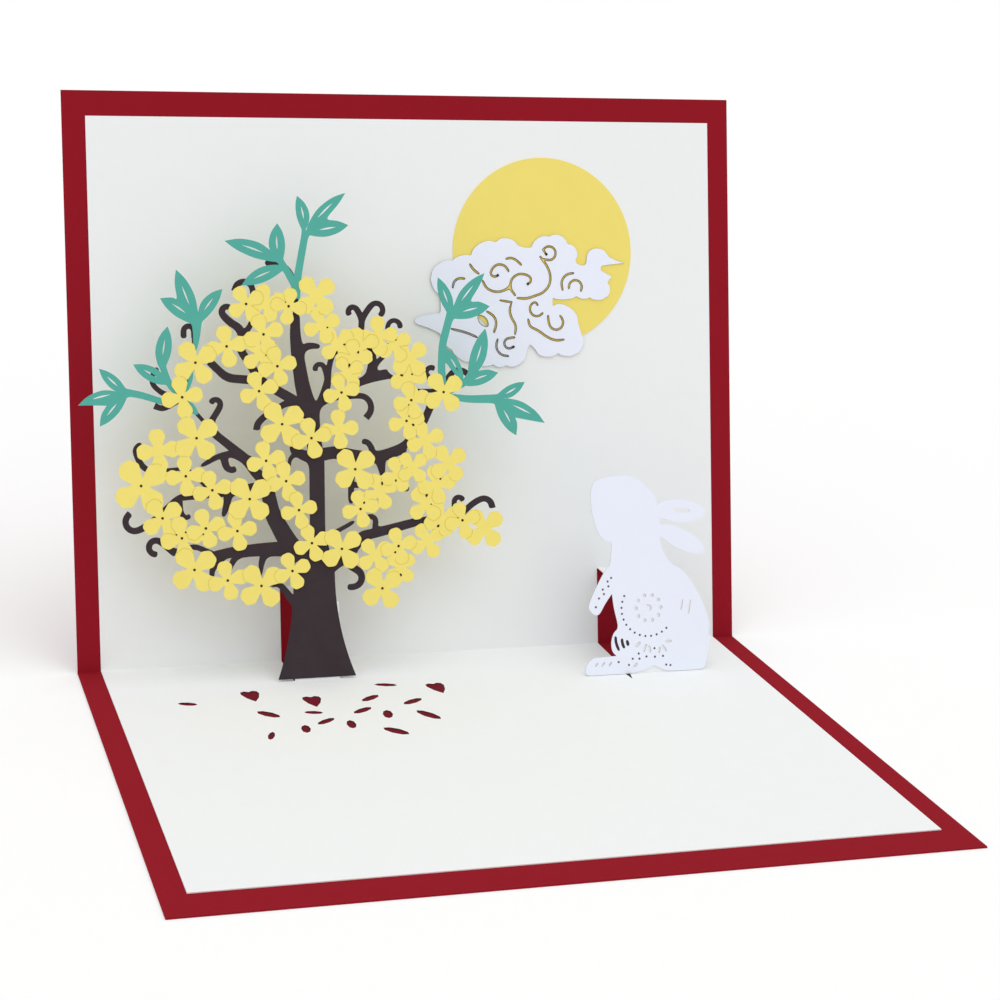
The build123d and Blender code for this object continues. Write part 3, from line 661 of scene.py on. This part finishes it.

# Cloud: the sheet, scorched lines with painted shade along its slots, and burnt dots with
# painted shade at the ends of its scrolls
white_paper = scorch(paper("white_paper", *WHITE_PAPER), SCORCHED_EDGE)
scorch_and_shade_line = paper("scorch_and_shade_line", *SCORCH_AND_SHADE_LINE)
burnt_and_shaded_hole = paper("burnt_and_shaded_hole", *BURNT_AND_SHADED_HOLE)
cloud_cuts, cloud_front = cut_sheet("cloud", white_paper, pushes=CLOUD_PUSHES)
cloud_slots = [rounded(slot) for slot in sorted(cloud_cuts, key=girth)[:-1]]
cloud_scorch_and_shade = beaded("cloud_scorch_and_shade", cloud_slots, SCORCH_AND_SHADE_SIZE)
piece_from(cloud_scorch_and_shade, UPRIGHT, cloud_front, scorch_and_shade_line)
scroll_dots = []
for end in SCROLL_ENDS:
    scroll_dots.append([(Vector(end) + Vector(way)) / DRAWING_SCALE for way in DOT_CORNERS])
cloud_dots = beaded("cloud_dots", scroll_dots, HOLE_SIZE)
piece_from(cloud_dots, UPRIGHT, cloud_front, burnt_and_shaded_hole)

# Rabbit: the sheet, painted shade in its pierced dots, and the shade in the slits of its paw
rabbit_paper = scorch(paper("rabbit_paper", *WHITE_PAPER), SHADED_EDGE)
painted_hole_shade = paper("painted_hole_shade", *PAINTED_HOLE_SHADE)
rabbit_cuts, rabbit_front = cut_sheet(
    "rabbit", rabbit_paper, pushes=RABBIT_PUSHES)
rabbit_depth = rabbit_front - PAPER_THICK / 2
rabbit_dot_shades = beaded("rabbit_dot_shades", rings(rabbit_cuts, SMALL_DOT), HOLE_SIZE)
piece_from(rabbit_dot_shades, UPRIGHT, rabbit_depth, painted_hole_shade)
paw_slits = []
for cut in rabbit_cuts:
    if (middle(cut) * DRAWING_SCALE - Vector(PAW)).length < PAW_REACH:
        paw_slits.append(rounded(cut))
paw_shade = filled("paw_shade", paw_slits, SHADE_THICK)
piece_from(paw_shade, UPRIGHT, rabbit_depth, deep_shade)

# Tree: branches, blossoms with burnt rims and painted shade in their holes, leaf sprigs, and
# painted shadow lines where petals lie on petals
brown_paper = paper("brown_paper", *BROWN_PAPER)
yellow_paper = paper("yellow_paper", *YELLOW_PAPER)
green_paper = paper("green_paper", *GREEN_PAPER)
petal_shadow_line = paper("petal_shadow_line", *PETAL_SHADOW_LINE)
cut_sheet("tree_branches", brown_paper)
blossom_cuts, blossom_front = cut_sheet(
    "blossoms", yellow_paper, bend_reach=PETAL_BEND_REACH)
# Dark rings in the blossoms' small holes: burnt rims and painted shade seen through the holes
blossom_holes = beaded("blossom_holes", rings(blossom_cuts, SMALL_HOLE), HOLE_SIZE)
piece_from(blossom_holes, UPRIGHT, blossom_front, burnt_and_shaded_hole)
drawn = [point for blossom in BLOSSOMS for point in petals(*blossom)]
made = [point for cut in blossom_cuts for point in cut]
trunk_foot = far_corner(made) - far_corner(drawn)
for sprig in ("leaves_top", "leaves_upper_left", "leaves_left", "leaves_right"):
    cut_sheet(sprig, green_paper, moves=leaf_moves(trunk_foot))
petal_edge_shadows = beaded("petal_edge_shadows", petal_shadow_lines(trunk_foot), PETAL_SHADOW_SIZE, closed=False)
piece_from(petal_edge_shadows, UPRIGHT, blossom_front, petal_shadow_line)

# Floor
bpy.ops.mesh.primitive_plane_add(size=FLOOR_SIZE, location=(0, 0, 0))
floor = bpy.context.object
floor.name = "floor"
floor_paper = matt("floor", FLOOR_COLOUR)
floor_shader = floor_paper.node_tree.nodes["Principled BSDF"]
floor_shader.inputs["Emission Color"].default_value = WHITE
floor_glow = floor_shader.inputs["Emission Strength"]
seen_strength(floor_paper.node_tree, 0.0, FLOOR_GLOW, floor_glow)
floor.data.materials.append(floor_paper)

# Light
world = bpy.data.worlds.new("studio")
bpy.context.scene.world = world
world.use_nodes = True
background = world.node_tree.nodes["Background"]
background.inputs["Color"].default_value = WHITE
seen_strength(world.node_tree, WORLD_STRENGTH, WORLD_SEEN, background.inputs["Strength"])

sun_data = bpy.data.lights.new("sun", "SUN")
sun_data.angle = SUN_ANGLE
sun_data.energy = SUN_STRENGTH
sun = bpy.data.objects.new("sun", sun_data)
bpy.context.collection.objects.link(sun)
sun.location = SUN_FROM
sun.rotation_euler = SUN_FROM.to_track_quat("Z", "Y").to_euler()

# Camera
camera_data = bpy.data.cameras.new("camera")
camera_data.lens = CAMERA_LENS
camera = bpy.data.objects.new("camera", camera_data)
bpy.context.collection.objects.link(camera)
camera.matrix_world = camera_matrix()
bpy.context.scene.camera = camera

bpy.context.scene.view_settings.view_transform = "Standard"
